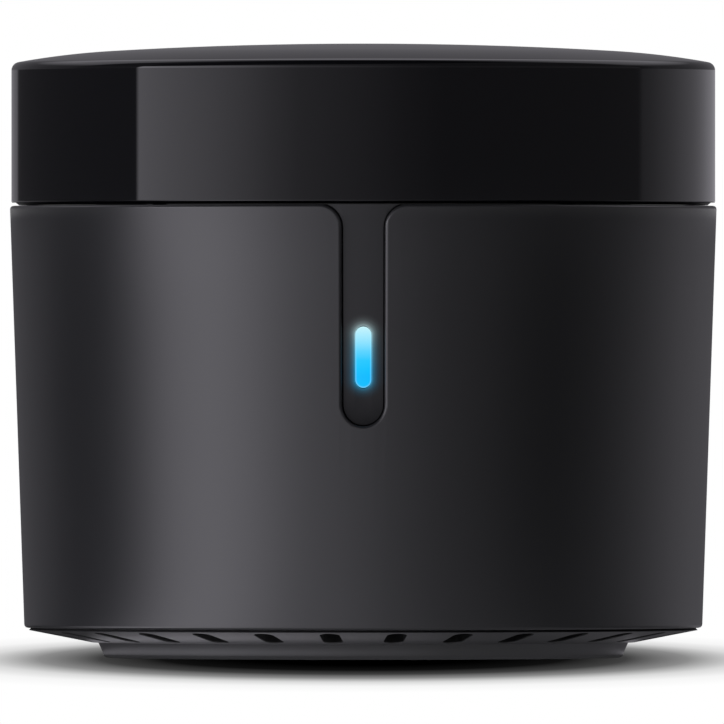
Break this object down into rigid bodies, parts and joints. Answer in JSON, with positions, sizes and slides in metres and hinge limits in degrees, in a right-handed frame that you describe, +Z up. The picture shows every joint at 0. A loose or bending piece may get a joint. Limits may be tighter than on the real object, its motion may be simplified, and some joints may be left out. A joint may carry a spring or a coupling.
{
  "type": "smart ir blaster",
  "caption": "Small round tabletop infrared blaster: tapered dark barrel on a vented base and foot, glossy domed cap, lit front strip, rear power inlet and reset button.",
  "frame": {"origin": "middle of the foot's underside, on the table", "axes": "+Z up, -Y towards the front strip, +Y towards the power inlet, +X to the right seen from the front"},
  "size_m": [0.046, 0.0459, 0.0399],
  "materials": {
    "barrel_plastic": "satin moulded",
    "cap_plastic": "polished",
    "strip_plastic": "satin moulded",
    "window_acrylic": "lit from behind",
    "base_plastic": "fine moulded grain",
    "foot_rubber": "matt",
    "adhesive_film": "tacky film",
    "screw_steel": "zinc plated",
    "board_laminate": "solder mask",
    "socket_steel": "tin plated",
    "socket_plastic": "moulded",
    "contact_gold": "gold flash",
    "button_plastic": "satin moulded",
    "switch_plastic": "moulded",
    "plunger_plastic": "moulded",
    "module_laminate": "solder mask",
    "can_steel": "drawn sheet",
    "capacitor_aluminium": "drawn can",
    "chip_epoxy": "moulded epoxy",
    "inductor_ferrite": "pressed ferrite",
    "passive_ceramic": "fired ceramic",
    "lamp_resin": "clear resin",
    "connector_nylon": "moulded nylon",
    "wire_insulation": "extruded",
    "emitter_resin": "clear cast resin",
    "lead_tin": "tin plated",
    "receiver_resin": "dark cast resin"
  },
  "bodies": {
    "housing": {"body_shell": "barrel_plastic", "ir_cap": "cap_plastic", "indicator_inlay": "strip_plastic", "light_pipe": "window_acrylic", "base_cover": "base_plastic", "rubber_foot": "foot_rubber", "foot_adhesive": "adhesive_film", "case_screws": "screw_steel", "main_board": "board_laminate", "main_board_screws": "screw_steel", "usb_socket_shell": "socket_steel", "usb_socket_tongue": "socket_plastic", "usb_contacts": "contact_gold", "reset_switch_body": "switch_plastic", "wifi_module_board": "module_laminate", "wifi_shield_can": "can_steel", "bulk_capacitor": "capacitor_aluminium", "capacitor_base": "socket_plastic", "regulator_chip": "chip_epoxy", "power_inductor": "inductor_ferrite", "main_board_passives": "passive_ceramic", "indicator_led": "lamp_resin", "main_link_connector": "connector_nylon", "link_wires": "wire_insulation", "emitter_link_connector": "connector_nylon", "emitter_board": "board_laminate", "emitter_board_screws": "screw_steel", "emitter_holder": "switch_plastic", "side_emitter_1": "emitter_resin", "side_emitter_2": "emitter_resin", "side_emitter_3": "emitter_resin", "side_emitter_4": "emitter_resin", "side_emitter_5": "emitter_resin", "side_emitter_6": "emitter_resin", "side_emitter_leads": "lead_tin", "top_emitter": "emitter_resin", "top_emitter_leads": "lead_tin", "ir_receiver": "receiver_resin", "ir_receiver_leads": "lead_tin", "driver_transistors": "chip_epoxy", "emitter_board_resistors": "passive_ceramic"},
    "reset_button": {"reset_button": "button_plastic"},
    "switch_plunger": {"switch_plunger": "plunger_plastic"}
  },
  "joints": [
    {"name": "reset_button_press", "type": "slide", "parent": "housing", "child": "reset_button", "axis": [-0.5, -0.866, 0], "range_m": [0, 0.0003], "stiffness_N_per_m": 5000},
    {"name": "switch_plunger_press", "type": "slide", "parent": "housing", "child": "switch_plunger", "axis": [-0.5, -0.866, 0], "range_m": [0, 0.0003]}
  ],
  "couplings": [
    {"joint": "switch_plunger_press", "follows": "reset_button_press", "ratio": 1}
  ]
}
